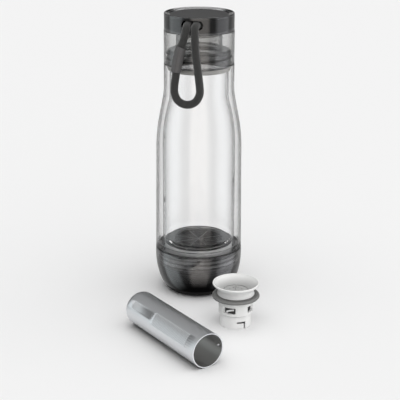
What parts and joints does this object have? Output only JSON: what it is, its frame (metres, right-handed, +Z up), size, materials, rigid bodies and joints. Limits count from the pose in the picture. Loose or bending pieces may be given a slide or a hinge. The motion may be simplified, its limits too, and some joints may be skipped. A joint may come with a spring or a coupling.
{
  "type": "tea infuser bottle",
  "caption": "Double-walled clear bottle with a glass core, smoke base and screw cap on a carry cord, with its metal infuser tube and white strainer funnel set out beside it.",
  "frame": {"origin": "centre of the bottle's foot pad on the floor", "axes": "+Z up along the bottle, -Y the front where the carry cord hangs and the infuser and funnel stand, +X to the right seen from the front"},
  "size_m": [0.1118, 0.2105, 0.2498],
  "materials": {
    "smoke_plastic": "smoke-grey see-through plastic, glossy",
    "clear_plastic": "water-clear plastic, glossy",
    "core_glass": "clear borosilicate-type glass",
    "black_rubber": "matt black non-slip rubber",
    "grey_silicone": "light grey silicone",
    "dark_silicone": "satin dark grey silicone",
    "white_plastic": "satin white plastic",
    "pin_steel": "plain steel",
    "tube_metal": "satin metal with a bright rolled rim",
    "charcoal_braid": "fine charcoal braid",
    "sleeve_plastic": "matt dark grey"
  },
  "bodies": {
    "base": {"base_cup": "smoke_plastic", "foot_pad": "black_rubber", "core_seat": "smoke_plastic", "core_cushion": "grey_silicone"},
    "base_seal": {"base_seal": "grey_silicone"},
    "shell": {"outer_shell": "clear_plastic", "glass_core": "core_glass", "neck_collar": "smoke_plastic", "collar_gasket": "grey_silicone", "spout": "clear_plastic"},
    "cap_seal": {"cap_seal": "grey_silicone"},
    "slip_washer": {"slip_washer": "white_plastic"},
    "cap": {"cap_body": "smoke_plastic", "cap_skirt": "clear_plastic", "cap_top_disc": "smoke_plastic", "cord_post": "pin_steel", "cord_anchor": "charcoal_braid"},
    "carry_loop": {"carry_cord": "charcoal_braid", "cord_sleeve": "sleeve_plastic"},
    "infuser": {"infuser_tube": "tube_metal", "bayonet_pin_left": "pin_steel", "bayonet_pin_right": "pin_steel"},
    "funnel": {"funnel": "white_plastic", "funnel_seal": "dark_silicone", "bayonet_sleeve": "white_plastic", "strainer": "white_plastic"}
  },
  "joints": [
    {"name": "shell_rise", "type": "slide", "parent": "base", "child": "base_seal", "axis": [0, 0, 1], "range_m": [0, 0.0158]},
    {"name": "shell_turn", "type": "hinge", "parent": "base_seal", "child": "shell", "pos_m": [0, 0, 0.04], "axis": [0, 0, 1], "range_deg": [0, 1530]},
    {"name": "cap_lift_off", "type": "slide", "parent": "shell", "child": "cap_seal", "axis": [0, 0, 1], "range_m": [0, 0.09]},
    {"name": "cap_rise", "type": "slide", "parent": "cap_seal", "child": "slip_washer", "axis": [0, 0, 1], "range_m": [0, 0.0088]},
    {"name": "cap_turn", "type": "hinge", "parent": "slip_washer", "child": "cap", "pos_m": [0, 0, 0.235], "axis": [0, 0, 1], "range_deg": [0, 630]},
    {"name": "loop_swing", "type": "hinge", "parent": "cap", "child": "carry_loop", "pos_m": [-0.00713, -0.03355, 0.2412], "axis": [-0.9781, 0.2079, 0], "range_deg": [0, 105]},
    {"name": "infuser_lift", "type": "slide", "parent": "base", "child": "infuser", "axis": [0, 0, 1], "range_m": [0, 0.1]},
    {"name": "funnel_lift", "type": "slide", "parent": "base", "child": "funnel", "axis": [0, 0, 1], "range_m": [0, 0.1]}
  ],
  "couplings": [
    {"joint": "shell_rise", "follows": "shell_turn", "m_per_rad": 0.00058887},
    {"joint": "cap_rise", "follows": "cap_turn", "m_per_rad": 0.00079577}
  ]
}
